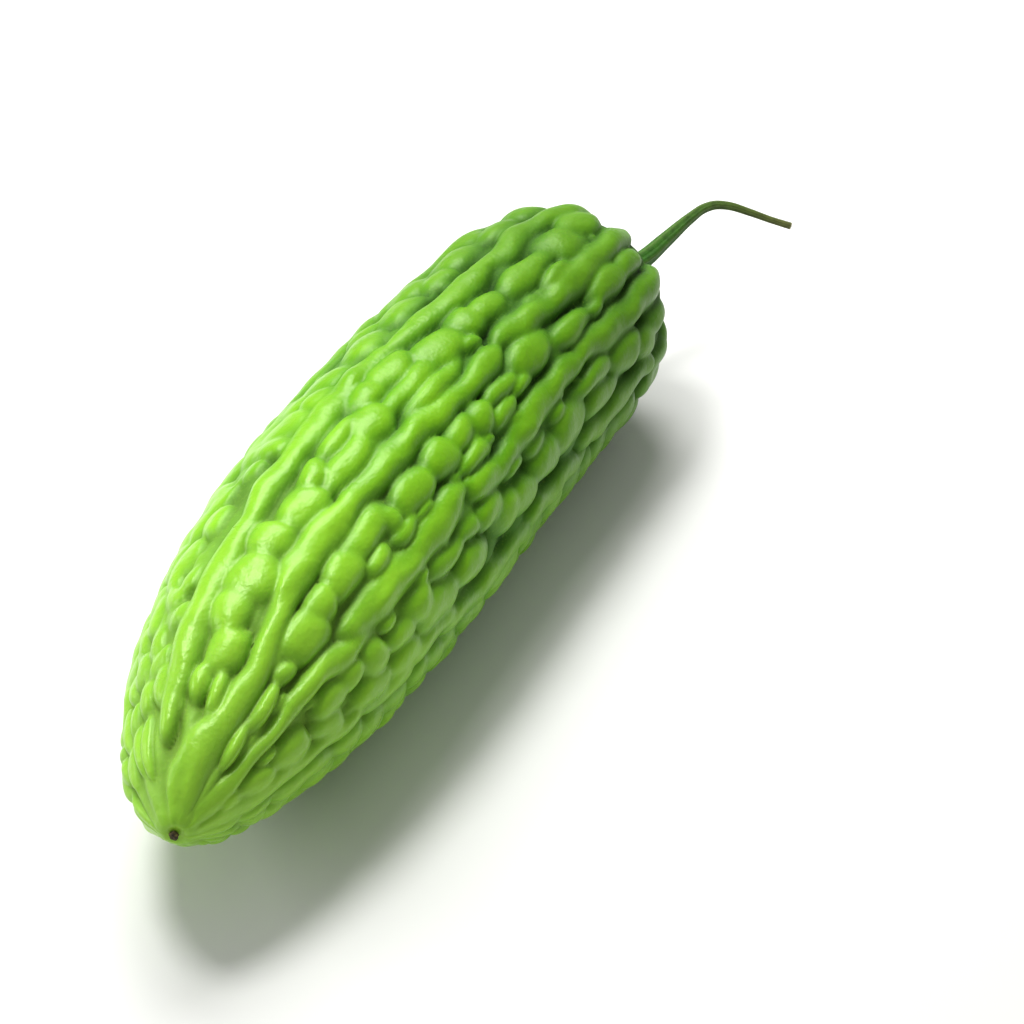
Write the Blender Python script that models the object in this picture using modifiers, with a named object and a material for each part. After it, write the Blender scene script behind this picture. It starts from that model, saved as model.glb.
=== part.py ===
"""
A bitter gourd, picked, lying on its side with a cut length of its stalk.

The fruit is one body. Its core is a turned form that tapers to a blunt tip and is
bent a little. A formula raises the skin of that core into ten lengthwise ridges and
fills the furrows between them with warts. The stalk stands in the hollow at the wide
end, and the withered remnant of the flower sits on the tip. The stalk end points to
+X, the tip to -X, and the fruit rests on a narrow flat along its underside.
"""
import math
import random

import bmesh
import bpy
import numpy as np

# Driving sizes, in millimetres unless the name says otherwise
MM = 0.001
FRUIT_LENGTH = 245.0
AXIS_HEIGHT = 34.0
CENTRE_X = -26.65
CENTRE_Y = 4.98
BEND = 7.8
TIP_HOOK = 5.7
STALK_DROOP = 2.0
GAP = 0.3
SEED = 7

# The core as distances from the stalk end along the axis, with radii: the floor of the
# stalk hollow, the shoulder, the full middle, the taper and the blunt tip
CORE_PROFILE = [
    (4.2, 0.0), (4.2, 2.6), (4.1, 5.0), (2.4, 8.8), (2.4, 13.6), (6.4, 20.6), (15.0, 26.0),
    (29.0, 29.1), (54.0, 30.5), (98.0, 31.8), (147.0, 31.6), (191.0, 25.9), (221.0, 16.2),
    (235.0, 10.0), (241.6, 5.6), (244.0, 3.5), (244.5, 2.3), (244.2, 1.6), (244.1, 0.9), (244.1, 0.0),
]

# How high ridges and warts stand above the core, and the core radii between which that
# height grows from nothing to full at either end
RIDGE_HEIGHT = 3.7
WART_HEIGHT = 4.1
STALK_FADE = (5.0, 30.0)
TIP_FADE = (1.5, 16.0)
# The floor of the furrows, over the core, and how much slow waves raise or lower it
FURROW_FLOOR = 0.95
FLOOR_WAVE = 0.4
# A raised feature is a pillow: how square it is in plan and how steep its sides are, and
# the rounding of the crease where two of them meet
PILLOW_SQUARENESS = 2.3
PILLOW_STEEPNESS = 0.5
CREASE_ROUNDING = 0.3
# The rounded end of a ridge's run
RUN_END = 6.0
# Warts crowd each other, so each is this much larger than its free outline
CROWDING = 1.29
# Slow waves over the skin that keep any ridge or wart from being regular: waves per
# millimetre along the fruit times 2 pi, waves round it, and where each wave starts
WAVES = [(0.16, 9, 0.4), (-0.25, 12, 1.9), (0.40, -7, 3.1), (0.11, 15, 5.2)]
WANDER_ALONG = 0.45
WANDER_ROUND = 0.45
WANDER_HEIGHT = 0.035

# Ridges on the side that faces up. Each run is (percent of the length from the stalk end,
# degrees round the axis from +Y through the top, half width in degrees), and a ridge is
# three or four runs whose ends pass each other
RIDGE_RUNS = [
    [(-4, 148, 8), (8, 148, 8.5), (20, 148, 8.5), (24, 145.5, 7.5), (27, 142.5, 6)],
    [(25, 145, 6), (30, 145.5, 7), (40, 148, 7.5), (48, 150, 7), (52, 147.5, 6), (54.5, 143.5, 5)],
    [(53.5, 143, 7), (58, 144.5, 8), (64, 146, 8.5), (70, 145.5, 9), (75, 144, 8), (78, 142, 5)],
    [(76, 150, 6), (79, 149, 7.5), (83, 146, 6.5), (88, 148, 6.5), (93, 147, 8.5), (96.5, 148, 16),
     (99.5, 150, 24)],
    [(-4, 113, 8), (9, 117, 8.5), (20, 119, 8), (28, 117, 8.5), (32, 115.5, 7.5), (35, 114, 6)],
    [(34.5, 115.5, 7), (40, 118, 6), (46, 117, 6.5), (54, 113, 7.5), (60, 112.5, 7.5), (67, 110, 6)],
    [(66, 111, 7), (74, 108.5, 9), (80, 112, 7.5), (86, 117, 9), (90, 115, 13), (94, 105, 22),
     (97, 99, 27), (99.5, 96, 29)],
    [(-4, 80, 9), (8, 83, 10), (15, 80, 9), (21, 83, 8), (26, 79, 6)],
    [(24, 83, 7), (30, 84, 8), (37, 80, 7.5), (43, 81, 6)],
    [(41, 77, 6), (50, 76, 8), (60, 77, 8), (68, 75, 7.5), (72, 76, 6)],
    [(70, 77, 7.5), (76, 74, 9.5), (82, 72, 10.5), (88, 71, 11), (92, 70, 10), (94.5, 69, 8)],
]
# Where other ridges run, in degrees, and how far, in percent. They wander and break by a
# rule, and those that reach the tip widen over this stretch until they touch
OTHER_RIDGES = [(6, 90), (42, 60), (186, 99.5), (226, 90), (261, 99.5), (296, 90), (331, 99.5)]
RUN_LENGTHS = (9.0, 21.0)
RUN_SHIFT = 5.0
RUN_SWAY = 2.0
RUN_HALF_WIDTHS = (5.6, 8.4)
TIP_STRETCH = (89, 99)
TIP_WIDENING = 19.0
# Knots along every run, as far as here in percent: the step from one to the next and the
# half length in percent, the half width in degrees, and how far they rise over the ridge.
# They sway to a side by so many degrees on the upper ridges and on the others
KNOTS_END = 90
KNOT_STEPS = (3.5, 8.0)
KNOT_HALF_LENGTHS = (2.4, 5.4)
KNOT_HALF_WIDTHS = (4.6, 7.2)
KNOT_RISES = (-0.3, 0.6)
TOP_SWAY = 1.0
OTHER_SWAY = 2.0
# One flank is smoother: its middle and half width in degrees, the stretch in percent over
# which that sets in, by how much its relief is lower, and its creases rounder
CALM_FLANK = (34.0, 38.0)
CALM_STRETCH = (16, 54)
CALM_SHARE = 0.45
CALM_ROUNDING = 0.8
# Towards the stalk the creases are rounder too, from here to here in percent
SOFT_STRETCH = (36, 6)
SOFT_ROUNDING = 0.9
# Towards the tip that flank carries broad warts set like bricks: the first and last place
# in percent, the columns in degrees, and the step from row to row in percent
FLANK_ROWS = (60.0, 93.0, 3.3)
FLANK_COLUMNS = (4, 19, 34, 49)
FLANK_STAGGER = 8.0
FLANK_SHIFT = (1.0, 3.0)
FLANK_HALF_LENGTHS = (1.3, 2.4)
FLANK_HALF_WIDTHS = (5.0, 7.8)
# Small low warts scattered in the furrows, with half sizes in percent and in degrees
BUDS = 260
BUD_STRETCH = (6, 92)
BUD_HALF_LENGTHS = (0.9, 1.7)
BUD_HALF_WIDTHS = (2.0, 3.6)
BUD_HEIGHTS = (1.8, 3.0)
# The length times the width, in percent and degrees, from which a wart counts as broad
BROAD_WART = 14.0

# Warts on the side that faces up, furrow by furrow: (percent of the length, degrees,
# half length in percent, half width in degrees)
WARTS = [
    (9, 131, 2.6, 6), (14.5, 131, 4.2, 6), (19, 135.5, 1.8, 3.4), (24.5, 134, 3.7, 4.6),
    (32.2, 128.5, 3.8, 6.6), (36.8, 134.5, 2.2, 3.6), (39.3, 129, 2.9, 4.4), (41.2, 137, 2.2, 3.6),
    (44.5, 130.5, 2.2, 5.4), (45.6, 137.8, 1.2, 2), (49.6, 138.5, 3.3, 4.2), (48.5, 128, 2.2, 5.2),
    (52.9, 128.3, 2.8, 6.6), (58.8, 128.4, 3.0, 6.9), (59.8, 137, 1.6, 2), (63.2, 135.3, 2.1, 3.5),
    (63.6, 127.8, 1.5, 5), (67.4, 123.4, 3.7, 6.3), (68.5, 134.8, 2.1, 4), (72.4, 125.3, 2.7, 7.4),
    (76.6, 126, 1.9, 6.4), (80.4, 129, 2.8, 9.4), (84.6, 131, 1.4, 5), (88.5, 132.5, 2.5, 5.5),
    (92.6, 130, 2.0, 5),
    (8.5, 97, 3.0, 9), (14.5, 101.5, 3.2, 9.5), (19.6, 112, 2.8, 3.4), (21.8, 100.5, 4.6, 6.8),
    (30, 99.5, 2.7, 6), (33.8, 97, 2.5, 7.6), (36.8, 106.5, 1.6, 3.4), (39.6, 97.8, 3.4, 8.7),
    (45.4, 108, 5.2, 4.2), (46.8, 99.2, 5.0, 5.4), (45.4, 88, 3.1, 6.8), (50.8, 87, 3.0, 5.8),
    (54.2, 96.5, 3.0, 7.7), (60.4, 100, 4.3, 5.8), (57.6, 89.6, 3.1, 4.6), (63.7, 90.8, 2.3, 5),
    (67.9, 95.5, 2.9, 8.6), (72.8, 90.8, 2.3, 8.7), (77.4, 92.4, 2.6, 11.8), (81.6, 89.2, 2.5, 9.2),
    (85.2, 96, 2.5, 10), (89.4, 101, 1.9, 5.6), (88.5, 87.2, 1.8, 5.8),
    (9, 164, 2.8, 7), (12.6, 169, 1.8, 7), (17.6, 163.5, 3.4, 7), (24.6, 169, 3.7, 6.2),
    (25.6, 157.8, 4.8, 4.4), (32.6, 165.5, 3.5, 8.7), (34, 155.6, 1.9, 3.3), (38.8, 167.5, 3.4, 7.6),
    (39.7, 157, 2.1, 3.6), (44.8, 156.8, 1.9, 2.7), (44.3, 171, 2.6, 7), (48.8, 168, 3.1, 7),
    (51.6, 159.5, 2.6, 5.2), (56, 157, 2.4, 4.4), (57, 170, 3.2, 6.3), (60.7, 158, 3.0, 4.8),
    (64.2, 171, 3.9, 7.2), (67, 162, 2.5, 6.3), (65.4, 155.2, 1.3, 3), (71.2, 165.4, 2.4, 6),
    (71.2, 177, 2.7, 6), (71.6, 155.3, 1.5, 2.7), (75.5, 163.5, 2.0, 7.8), (76.8, 176.5, 3.0, 6.4),
    (79.2, 160, 1.8, 6.8), (82.2, 161.5, 2.1, 6.6), (83.6, 175, 2.1, 9.5), (88.6, 168.5, 2.7, 9.6),
    (93, 168, 2.1, 9), (91, 157, 1.3, 3.5), (96, 164, 1.2, 8),
    (8.5, 61, 3.0, 9.5), (14.5, 64, 3.2, 8), (16, 52, 2.4, 7), (21.5, 59, 3.4, 10), (27, 66, 2.6, 6.5),
    (28.5, 53.5, 3.2, 8), (34, 62, 3.4, 9.5), (37.5, 51.5, 2.4, 6), (41, 62.5, 3.0, 9),
]
# The furrows that a rule fills: from and to in degrees, and from and to in percent
OTHER_FURROWS = [
    (191.5, 220.5, 6, 95), (231.5, 255.5, 6, 95), (266.5, 290.5, 6, 95), (301.5, 325.5, 6, 95),
    (336.5, 360.5, 6, 95), (11.5, 36.5, 6, 60), (47.5, 72.5, 45, 60),
]
WART_HALF_LENGTHS = (1.4, 2.9)
BROAD_SHARE = 0.35
BROAD_SWAY = 0.12
PAIR_SHARES = (0.40, 0.60)
PAIR_STAGGER = 1.1
ROW_STEPS = (1.72, 1.9)

# The fruit's skin is drawn on a sphere with this many meridians and rings, then thinned
MERIDIANS = 256
RINGS = 380
KEPT_SHARE = 0.0535

# The stalk as (along the axis, sideways, up) from the hollow's floor, with radii
STALK_COURSE = [
    ((0.0, 0.0, 0.0), 4.2), ((2.4, 0.0, 0.0), 3.8), ((8.0, -2.0, 0.9), 3.3),
    ((17.0, -6.2, 3.4), 2.9), ((27.0, -7.6, 5.6), 2.4), ((38.0, -9.6, 8.7), 1.75),
    ((43.5, -10.8, 9.7), 1.5), ((47.0, -12.6, 9.9), 1.4), ((50.0, -15.4, 9.3), 1.3),
    ((54.0, -21.1, 7.1), 1.15), ((57.5, -26.2, 4.8), 1.05), ((61.0, -31.3, 2.8), 1.1),
]
STALK_RIBS = 5
RIB_DEPTH = 0.13
RIB_POINTS = 15

# The flower's remnant on the tip
SCAR_RADIUS = 1.25
SCAR_TOP_RADIUS = 0.85
SCAR_HEIGHT = 0.9
SCAR_SIDES = 14
SCAR_BEVEL = 0.18
SCAR_LOBES = 5
SCAR_LOBE_DEPTH = 0.09


def clear_scene():
    for obj in list(bpy.data.objects):
        bpy.data.objects.remove(obj, do_unlink=True)


def make_material(name, colour, roughness):
    material = bpy.data.materials.new(name)
    material.use_nodes = True
    shader = material.node_tree.nodes["Principled BSDF"]
    shader.inputs["Base Color"].default_value = (*colour, 1.0)
    shader.inputs["Roughness"].default_value = roughness
    shader.inputs["Metallic"].default_value = 0.0
    material.diffuse_color = (*colour, 1.0)
    return material


def smooth_curve(stations, values, at):
    """A cubic through the given points, with each slope taken from its neighbours."""
    stations = np.asarray(stations, dtype=float)
    values = np.asarray(values, dtype=float)
    slopes = np.gradient(values, stations)
    at = np.clip(at, stations[0], stations[-1])
    left = np.clip(np.searchsorted(stations, at, side="right") - 1, 0, len(stations) - 2)
    span = stations[left + 1] - stations[left]
    t = (at - stations[left]) / span
    return (values[left] * (1 + 2 * t) * (1 - t) ** 2
            + slopes[left] * span * t * (1 - t) ** 2
            + values[left + 1] * t * t * (3 - 2 * t)
            + slopes[left + 1] * span * t * t * (t - 1))


def smooth_step(low, high, value):
    t = np.clip((value - low) / (high - low), 0.0, 1.0)
    return t * t * (3 - 2 * t)


class Core:
    """The turned core: distance along its outline, place along the axis, and radius."""

    def __init__(self):
        along, radius = np.array(CORE_PROFILE).T
        chord = np.concatenate([[0], np.cumsum(np.hypot(np.diff(along), np.diff(radius)))])
        fine = np.linspace(0, chord[-1], 4000)
        self.along = smooth_curve(chord, along, fine)
        self.radius = np.maximum(smooth_curve(chord, radius, fine), 0.0)
        steps = np.hypot(np.diff(self.along), np.diff(self.radius))
        self.run = np.concatenate([[0], np.cumsum(steps)])
        rise = np.gradient(self.radius, self.run)
        advance = np.gradient(self.along, self.run)
        size = np.hypot(rise, advance)
        self.normal_along = -rise / size
        self.normal_out = advance / size

    def at(self, run):
        names = ("along", "radius", "normal_along", "normal_out")
        return [np.interp(run, self.run, getattr(self, name)) for name in names]

    def run_at_percent(self, percent):
        """Distance along the outline at a place given in percent of the fruit's length."""
        first = int(np.argmin(self.along[:len(self.along) // 2]))
        place = np.asarray(percent, dtype=float) * FRUIT_LENGTH / 100
        over = np.minimum(place, 0.0)
        return np.interp(place, self.along[first:], self.run[first:]) + over


def wrapped(degrees):
    return (degrees + 180.0) % 360.0 - 180.0


def wave_sum(run, degrees, start):
    turn = np.radians(degrees)
    return sum(np.sin(along * run + around * turn + phase + start * around)
               for along, around, phase in WAVES)


def end_fade(core, run):
    """Ridges and warts sink into the skin towards both ends."""
    along, radius = core.at(run)[:2]
    by_stalk = smooth_step(*STALK_FADE, radius)
    by_tip = smooth_step(*TIP_FADE, radius)
    return np.where(along < FRUIT_LENGTH / 2, by_stalk, by_tip)


def calmness(core, run, degrees):
    """From 0 to 1 towards the middle of the smooth flank."""
    middle, half_width = CALM_FLANK
    across = smooth_step(half_width, 0.35 * half_width, np.abs(wrapped(degrees - middle)))
    start, end = core.run_at_percent(CALM_STRETCH)
    return across * smooth_step(start, end, run)


def softness(core, run):
    """From 0 to 1 towards the stalk end."""
    start, end = core.run_at_percent(SOFT_STRETCH)
    return smooth_step(start, end, run)


class Relief:
    """The height of the skin over the core: the rounded union of ridges and warts."""

    def __init__(self, core, run, degrees):
        self.core = core
        self.run = run + WANDER_ALONG * wave_sum(run, degrees, 0.0)
        self.degrees = degrees + WANDER_ROUND * wave_sum(run, degrees, 2.0)
        self.vigour = 1 + WANDER_HEIGHT * wave_sum(run, degrees, 4.0)
        floor = np.maximum(FURROW_FLOOR + FLOOR_WAVE * wave_sum(run, degrees, 1.0), 0.0)
        self.rounding = CREASE_ROUNDING * (1 + CALM_ROUNDING * calmness(core, run, degrees)
                                           + SOFT_ROUNDING * softness(core, run))
        self.total = np.exp(floor / self.rounding)

    def add(self, near, distance, height):
        """Raise a pillow over the points near it, whose outline is at distance 1."""
        inside = np.maximum(1.0 - distance, 0.0)
        self.total[near] += np.expm1(height * inside ** PILLOW_STEEPNESS / self.rounding[near])

    def add_ridge(self, course):
        percent, angle, half_width = np.array(course, dtype=float).T
        places = self.core.run_at_percent(percent)
        near = np.flatnonzero((self.run > places[0]) & (self.run < places[-1]))
        run = self.run[near]
        aside = wrapped(self.degrees[near] - smooth_curve(places, angle, run))
        aside = np.abs(aside) / smooth_curve(places, half_width, run)
        before = np.maximum(places[0] + RUN_END - run, 0.0) / RUN_END
        after = np.maximum(run - places[-1] + RUN_END, 0.0) / RUN_END
        distance = aside ** PILLOW_SQUARENESS + before ** 2 + after ** 2
        self.add(near, distance, RIDGE_HEIGHT)

    def add_wart(self, percent, angle, half_length, half_width, height):
        place = self.core.run_at_percent(percent)
        reach = half_length * FRUIT_LENGTH / 100
        near = np.flatnonzero(np.abs(self.run - place) < reach)
        ahead = np.abs(self.run[near] - place) / reach
        aside = np.abs(wrapped(self.degrees[near] - angle)) / half_width
        distance = ahead ** PILLOW_SQUARENESS + aside ** PILLOW_SQUARENESS
        self.add(near, distance, height)

    def height(self):
        return self.rounding * np.log(self.total) * self.vigour


def other_ridge_runs(draw):
    """Ridges on the sides and below: each wanders, and breaks into short runs that shift."""
    runs = []
    for angle, reach in OTHER_RIDGES:
        start = -4.0
        while start < reach:
            end = start + draw.uniform(*RUN_LENGTHS)
            if end > reach - RUN_LENGTHS[0] or start > TIP_STRETCH[0] - RUN_LENGTHS[0]:
                end = reach
            shift = draw.uniform(-RUN_SHIFT, RUN_SHIFT) * (start < TIP_STRETCH[0])
            course = []
            for percent in np.linspace(start, end, max(3, int((end - start) / 5))):
                widening = TIP_WIDENING * smooth_step(*TIP_STRETCH, percent)
                course.append((percent, angle + shift + draw.uniform(-RUN_SWAY, RUN_SWAY),
                               draw.uniform(*RUN_HALF_WIDTHS) + widening))
            runs.append(course)
            start = end if end == reach else end - 1.0
    return runs


def other_warts(draw):
    """Walk down each furrow with either one broad wart or a staggered pair at a time."""
    warts = []
    for left, right, percent, end in OTHER_FURROWS:
        middle = (left + right) / 2
        spread = (right - left) / 2
        while percent < end:
            half_length = draw.uniform(*WART_HALF_LENGTHS)
            if draw.random() < BROAD_SHARE:
                centre = middle + draw.uniform(-BROAD_SWAY, BROAD_SWAY) * spread
                warts.append((percent + half_length, centre, half_length, 0.88 * spread))
            else:
                share = draw.uniform(*PAIR_SHARES)
                stagger = draw.uniform(-PAIR_STAGGER, PAIR_STAGGER)
                warts.append((percent + half_length + stagger, left + share * spread * 0.95,
                              half_length, share * spread * 1.06))
                warts.append((percent + half_length - stagger, right - (1 - share) * spread * 0.95,
                              half_length * draw.uniform(0.75, 1.0), (1 - share) * spread * 1.06))
            percent += half_length * draw.uniform(*ROW_STEPS)
    return warts


def flank_warts(draw):
    """Broad warts in staggered rows, each moved and sized by a draw."""
    warts = []
    percent, end, step = FLANK_ROWS
    along_shift, round_shift = FLANK_SHIFT
    offset = 0.0
    while percent < end:
        for column in FLANK_COLUMNS:
            warts.append((percent + draw.uniform(-along_shift, along_shift),
                          column + offset + draw.uniform(-round_shift, round_shift),
                          draw.uniform(*FLANK_HALF_LENGTHS), draw.uniform(*FLANK_HALF_WIDTHS)))
        percent += step * draw.uniform(0.8, 1.2)
        offset = FLANK_STAGGER - offset
    return warts


def ridge_knots(runs, sway, draw):
    """Low knots that make a ridge lumpy, along each of its runs, up to sway to a side."""
    knots = []
    for course in runs:
        percent, angle, half_width = np.array(course, dtype=float).T
        place = percent[0] + 2.0
        while place < min(percent[-1], KNOTS_END) - 1.5:
            middle = float(smooth_curve(percent, angle, place))
            knots.append((place, middle + draw.uniform(-sway, sway),
                          draw.uniform(*KNOT_HALF_LENGTHS), draw.uniform(*KNOT_HALF_WIDTHS),
                          RIDGE_HEIGHT + draw.uniform(*KNOT_RISES)))
            place += draw.uniform(*KNOT_STEPS)
    return knots


def furrow_buds(draw):
    """Small low warts anywhere, which show only where they land in an open furrow."""
    return [(draw.uniform(*BUD_STRETCH), draw.uniform(0, 360), draw.uniform(*BUD_HALF_LENGTHS),
             draw.uniform(*BUD_HALF_WIDTHS), draw.uniform(*BUD_HEIGHTS)) for _ in range(BUDS)]


def wart_height(half_length, half_width):
    """Small warts stand lower than broad ones."""
    return WART_HEIGHT * (0.74 + 0.26 * min(1.0, half_length * half_width / BROAD_WART))


def skin_relief(core, run, degrees):
    draw = random.Random(SEED)
    relief = Relief(core, run, degrees)
    other_runs = other_ridge_runs(draw)
    for course in RIDGE_RUNS + other_runs:
        relief.add_ridge(course)
    knots = ridge_knots(RIDGE_RUNS, TOP_SWAY, draw) + ridge_knots(other_runs, OTHER_SWAY, draw)
    for lump in knots + furrow_buds(draw):
        relief.add_wart(*lump)
    warts = WARTS + other_warts(draw) + flank_warts(draw)
    for percent, angle, half_length, half_width in warts:
        height = wart_height(half_length, half_width)
        relief.add_wart(percent, angle, CROWDING * half_length, CROWDING * half_width, height)
    return relief.height() * (1 - CALM_SHARE * calmness(core, run, degrees))


def bend(along, radius, degrees):
    """Carry a point of the straight fruit, given round its axis, onto the bent axis."""
    half = FRUIT_LENGTH / 2
    x = half - along
    share = x / half
    tip_share = np.minimum(share, 0.0)
    stalk_share = np.maximum(share, 0.0)
    y = -BEND * share ** 2 + TIP_HOOK * tip_share ** 5
    z = -STALK_DROOP * stalk_share ** 5
    slope_y = (-2 * BEND * share + 5 * TIP_HOOK * tip_share ** 4) / half
    slope_z = -5 * STALK_DROOP * stalk_share ** 4 / half
    forward = np.stack([np.ones_like(x), slope_y, slope_z], axis=-1)
    forward /= np.linalg.norm(forward, axis=-1, keepdims=True)
    side = np.stack([-slope_y, np.ones_like(x), np.zeros_like(x)], axis=-1)
    side /= np.linalg.norm(side, axis=-1, keepdims=True)
    top = np.cross(forward, side)
    angle = np.radians(degrees)[..., None]
    centre = np.stack([x + CENTRE_X, y + CENTRE_Y, z + AXIS_HEIGHT], axis=-1)
    outward = np.cos(angle) * side + np.sin(angle) * top
    return centre + np.asarray(radius)[..., None] * outward


def axis_frame(along):
    """Centre, forward, side and top directions of the bent axis at one place."""
    centre = bend(np.array([along]), np.array([0.0]), np.array([0.0]))[0]
    side = bend(np.array([along]), np.array([1.0]), np.array([0.0]))[0] - centre
    top = bend(np.array([along]), np.array([1.0]), np.array([90.0]))[0] - centre
    return centre, np.cross(side, top), side, top


def build_fruit(core, collection):
    mesh = bpy.data.meshes.new("fruit")
    shape = bmesh.new()
    bmesh.ops.create_uvsphere(shape, u_segments=MERIDIANS, v_segments=RINGS, radius=1.0)
    shape.to_mesh(mesh)
    shape.free()
    points = np.empty(len(mesh.vertices) * 3)
    mesh.vertices.foreach_get("co", points)
    x, y, z = points.reshape(-1, 3).T
    run = np.arccos(np.clip(z, -1.0, 1.0)) / math.pi * core.run[-1]
    degrees = np.degrees(np.arctan2(y, x))
    height = skin_relief(core, run, degrees) * end_fade(core, run)
    along, radius, normal_along, normal_out = core.at(run)
    place = bend(along + height * normal_along, radius + height * normal_out, degrees)
    mesh.vertices.foreach_set("co", (place * MM).ravel())
    mesh.update()
    obj = bpy.data.objects.new("fruit", mesh)
    collection.objects.link(obj)
    thin = obj.modifiers.new("thin", "DECIMATE")
    thin.ratio = KEPT_SHARE
    return obj


def cut_flat(obj, guides):
    """Cut the underside flat where the fruit rests."""
    bpy.ops.mesh.primitive_cube_add(size=1.0)
    block = bpy.context.object
    block.name = "ground_block"
    block.scale = (2 * FRUIT_LENGTH * MM, FRUIT_LENGTH * MM, FRUIT_LENGTH * MM)
    block.location = (0.0, 0.0, -0.5 * FRUIT_LENGTH * MM)
    for owner in list(block.users_collection):
        owner.objects.unlink(block)
    guides.objects.link(block)
    block.hide_render = True
    block.display_type = "WIRE"
    cut = obj.modifiers.new("flat", "BOOLEAN")
    cut.operation = "DIFFERENCE"
    cut.solver = "EXACT"
    cut.object = block


def build_stalk(collection, guides):
    """A ribbed, tapering stalk from the hollow's floor to its cut end."""
    rib_curve = bpy.data.curves.new("stalk_section", "CURVE")
    rib_curve.dimensions = "2D"
    section = rib_curve.splines.new("POLY")
    section.points.add(RIB_POINTS - 1)
    section.use_cyclic_u = True
    for index, point in enumerate(section.points):
        angle = -2 * math.pi * index / RIB_POINTS
        reach = MM * (1.0 - RIB_DEPTH * (0.5 - 0.5 * math.cos(STALK_RIBS * angle)))
        point.co = (reach * math.cos(angle), reach * math.sin(angle), 0.0, 1.0)
    section_object = bpy.data.objects.new("stalk_section", rib_curve)
    section_object.hide_render = True
    section_object.display_type = "WIRE"
    guides.objects.link(section_object)

    foot = CORE_PROFILE[0][0] - GAP
    centre, forward, side, top = axis_frame(foot)
    curve = bpy.data.curves.new("stem", "CURVE")
    curve.dimensions = "3D"
    curve.bevel_mode = "OBJECT"
    curve.bevel_object = section_object
    curve.use_fill_caps = True
    curve.resolution_u = 4
    course = curve.splines.new("BEZIER")
    course.bezier_points.add(len(STALK_COURSE) - 1)
    for point, ((ahead, aside, up), radius) in zip(course.bezier_points, STALK_COURSE):
        place = centre + ahead * forward + aside * side + up * top
        point.co = place * MM
        point.radius = radius
        point.handle_left_type = "AUTO"
        point.handle_right_type = "AUTO"
    stem = bpy.data.objects.new("stem", curve)
    collection.objects.link(stem)
    return stem


def build_scar(collection):
    """The flower's remnant: a low, scalloped button on the tip."""
    mesh = bpy.data.meshes.new("blossom_scar")
    shape = bmesh.new()
    bmesh.ops.create_cone(shape, cap_ends=True, segments=SCAR_SIDES, radius1=SCAR_RADIUS * MM,
                          radius2=SCAR_TOP_RADIUS * MM, depth=SCAR_HEIGHT * MM)
    for index, vertex in enumerate(shape.verts):
        wave = 1.0 + SCAR_LOBE_DEPTH * math.cos(SCAR_LOBES * math.atan2(vertex.co.y, vertex.co.x))
        vertex.co.x *= wave
        vertex.co.y *= wave
    shape.to_mesh(mesh)
    shape.free()
    scar = bpy.data.objects.new("blossom_scar", mesh)
    collection.objects.link(scar)
    foot = CORE_PROFILE[-1][0] + GAP + SCAR_HEIGHT / 2
    centre, forward, side, top = axis_frame(foot)
    scar.location = centre * MM
    scar.rotation_euler = (0.0, -math.pi / 2, math.atan2(forward[1], forward[0]))
    edge = scar.modifiers.new("worn_edge", "BEVEL")
    edge.width = SCAR_BEVEL * MM
    edge.segments = 2
    return scar


def main():
    clear_scene()
    collection = bpy.data.collections.new("bitter_gourd")
    guides = bpy.data.collections.new("guides")
    bpy.context.scene.collection.children.link(collection)
    bpy.context.scene.collection.children.link(guides)
    core = Core()

    fruit = build_fruit(core, collection)
    cut_flat(fruit, guides)
    fruit.data.materials.append(make_material("waxy_green_skin", (0.17, 0.43, 0.02), 0.35))
    fruit.data.shade_smooth()

    stem = build_stalk(collection, guides)
    stem.data.materials.append(make_material("green_stalk", (0.07, 0.16, 0.02), 0.55))

    scar = build_scar(collection)
    scar.data.materials.append(make_material("brown_flower_remnant", (0.12, 0.06, 0.02), 0.85))


main()
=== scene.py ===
"""
The finished bitter gourd: waxy green skin over ridges and warts, a ribbed green stalk
and the brown flower remnant, on a pale floor in soft light.
"""

import math
import random

import bmesh
import bpy
import numpy as np
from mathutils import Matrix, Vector, noise


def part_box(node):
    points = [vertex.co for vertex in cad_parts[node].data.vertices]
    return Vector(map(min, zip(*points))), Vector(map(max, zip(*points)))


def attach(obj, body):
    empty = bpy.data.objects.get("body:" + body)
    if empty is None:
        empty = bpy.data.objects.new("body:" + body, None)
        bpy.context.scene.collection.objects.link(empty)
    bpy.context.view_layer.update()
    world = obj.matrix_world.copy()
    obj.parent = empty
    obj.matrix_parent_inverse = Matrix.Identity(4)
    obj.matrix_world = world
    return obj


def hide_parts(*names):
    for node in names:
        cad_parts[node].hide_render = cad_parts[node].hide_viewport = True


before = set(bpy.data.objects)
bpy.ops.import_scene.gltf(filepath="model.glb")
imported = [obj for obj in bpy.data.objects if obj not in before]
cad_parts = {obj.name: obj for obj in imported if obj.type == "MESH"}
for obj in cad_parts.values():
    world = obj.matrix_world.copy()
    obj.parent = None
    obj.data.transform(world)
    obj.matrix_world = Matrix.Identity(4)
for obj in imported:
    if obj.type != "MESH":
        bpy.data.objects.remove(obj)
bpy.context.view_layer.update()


# Fruit: the crisp green body of the gourd, which grew in one piece. Its thin, waxy and a
# little translucent skin rises in lengthwise ridges, with warts in the furrows between
# them. It lies loose, on the crests of its lowest ridge and warts. Sizes are millimetres.
MM = 0.001
# The fruit's length, how high and where the middle of its axis lies, and how far the axis
# bends to a side, hooks back at the tip and droops at the stalk
FRUIT_LENGTH = 245.0
AXIS_HEIGHT = 34.0
CENTRE_X = -26.65
CENTRE_Y = 4.98
BEND = 7.8
TIP_HOOK = 5.7
STALK_DROOP = 2.0
# Hook and droop grow with this power of the distance from the middle
END_POWER = 5
# The start of every random draw below
SEED = 7

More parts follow.
